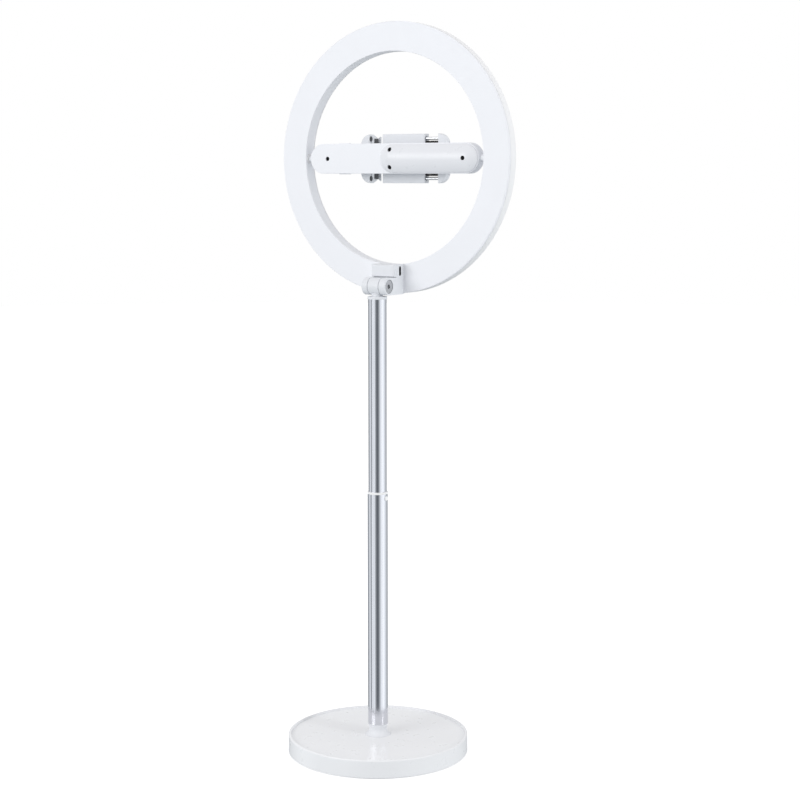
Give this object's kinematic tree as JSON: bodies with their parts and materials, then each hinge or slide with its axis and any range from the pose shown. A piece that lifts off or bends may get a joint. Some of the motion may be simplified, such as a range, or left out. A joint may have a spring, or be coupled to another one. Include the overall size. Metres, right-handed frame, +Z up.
{
  "type": "ring light",
  "caption": "Annular desk or floor light on a telescopic pole and weighted round base, with a pivoting crossbar that carries a swivelling phone clamp.",
  "frame": {"origin": "centre of the base's underside, on the pole's axis", "axes": "+Z up along the pole; the light shines towards -Y; the tilt hinge and the crossbar's pivots lie along X"},
  "size_m": [0.254, 0.173, 0.695],
  "materials": {
    "matt_white_abs": "fine moulded matt",
    "satin_white_abs": "satin moulded",
    "opal_diffuser": "opal, light off",
    "satin_chrome_tube": "satin, polished along its length",
    "chromed_rod": "bright chrome",
    "nickel_bolt": "nickel plated",
    "nickel_shell": "drawn, nickel plated",
    "raw_steel": "oiled steel",
    "zinc_steel": "zinc plated",
    "spring_steel": "oiled spring wire",
    "black_screw": "black oxide",
    "black_switch": "moulded",
    "grey_rubber": "matt",
    "natural_acetal": "natural, unpainted",
    "green_board": "solder mask",
    "white_board": "white solder mask",
    "led_phosphor": "phosphor",
    "lead_insulation": "PVC"
  },
  "bodies": {
    "stand": {"base_cover": "satin_white_abs", "weight_plate": "raw_steel", "weight_screws": "zinc_steel", "base_pad": "grey_rubber", "pole_socket": "satin_white_abs", "pole_bolt": "zinc_steel", "lower_tube": "satin_chrome_tube", "pole_collar": "natural_acetal"},
    "pole_slide": {"glide_bush": "natural_acetal"},
    "upper_pole": {"upper_tube": "satin_chrome_tube", "hinge_knuckle": "matt_white_abs"},
    "head": {"hinge_bolt": "nickel_bolt", "hinge_nut": "zinc_steel", "hinge_washers": "natural_acetal", "port_housing": "matt_white_abs", "housing_cap": "matt_white_abs", "housing_screws": "zinc_steel", "usb_c_socket": "nickel_shell", "port_board": "green_board", "led_leads": "lead_insulation", "rear_cover": "matt_white_abs", "led_board": "white_board", "led_chips": "led_phosphor", "led_board_screws": "zinc_steel", "diffuser": "opal_diffuser", "pivot_bushes": "natural_acetal"},
    "crossbar": {"crossbar_rear": "matt_white_abs", "crossbar_front": "matt_white_abs", "bar_pod": "matt_white_abs", "bar_screws": "black_screw", "hollow_pivot_pin": "matt_white_abs", "solid_pivot_pin": "matt_white_abs", "pivot_clips": "zinc_steel", "control_lead": "lead_insulation", "key_board": "green_board", "key_switches": "black_switch"},
    "upper_key": {"upper_key": "matt_white_abs"},
    "lower_key": {"lower_key": "matt_white_abs"},
    "clamp": {"clamp_body": "matt_white_abs", "clamp_plate": "matt_white_abs", "clamp_pad": "grey_rubber", "fixed_jaw_pad": "grey_rubber", "bore_plugs": "grey_rubber", "swivel_bolt": "zinc_steel", "swivel_washer": "natural_acetal", "swivel_spring_washer": "zinc_steel", "swivel_nut": "zinc_steel"},
    "jaw": {"sliding_jaw": "matt_white_abs", "guide_rods": "chromed_rod", "jaw_springs": "spring_steel", "sliding_jaw_pad": "grey_rubber"}
  },
  "joints": [
    {"name": "pole_extend", "type": "slide", "parent": "stand", "child": "pole_slide", "axis": [0, 0, 1], "range_m": [-0.165, 0]},
    {"name": "pole_turn", "type": "hinge", "parent": "pole_slide", "child": "upper_pole", "pos_m": [0, 0, 0.25], "axis": [0, 0, 1], "continuous": true},
    {"name": "head_tilt", "type": "hinge", "parent": "upper_pole", "child": "head", "pos_m": [0, 0, 0.449], "axis": [1, 0, 0], "range_deg": [-90, 30]},
    {"name": "bar_swing", "type": "hinge", "parent": "head", "child": "crossbar", "pos_m": [0, -0.031, 0.568], "axis": [1, 0, 0], "range_deg": [-60, 60]},
    {"name": "clamp_turn", "type": "hinge", "parent": "crossbar", "child": "clamp", "pos_m": [0, -0.031, 0.568], "axis": [0, 1, 0], "continuous": true},
    {"name": "jaw_slide", "type": "slide", "parent": "clamp", "child": "jaw", "axis": [1, 0, 0], "range_m": [-0.011, 0.0145], "deforming": ["jaw_springs"]},
    {"name": "upper_key_press", "type": "slide", "parent": "crossbar", "child": "upper_key", "axis": [0, 0, -1], "range_m": [0, 0.0004], "stiffness_N_per_m": 1500, "springref_m": -0.0003},
    {"name": "lower_key_press", "type": "slide", "parent": "crossbar", "child": "lower_key", "axis": [0, 0, 1], "range_m": [0, 0.0004], "stiffness_N_per_m": 1500, "springref_m": -0.0003}
  ]
}
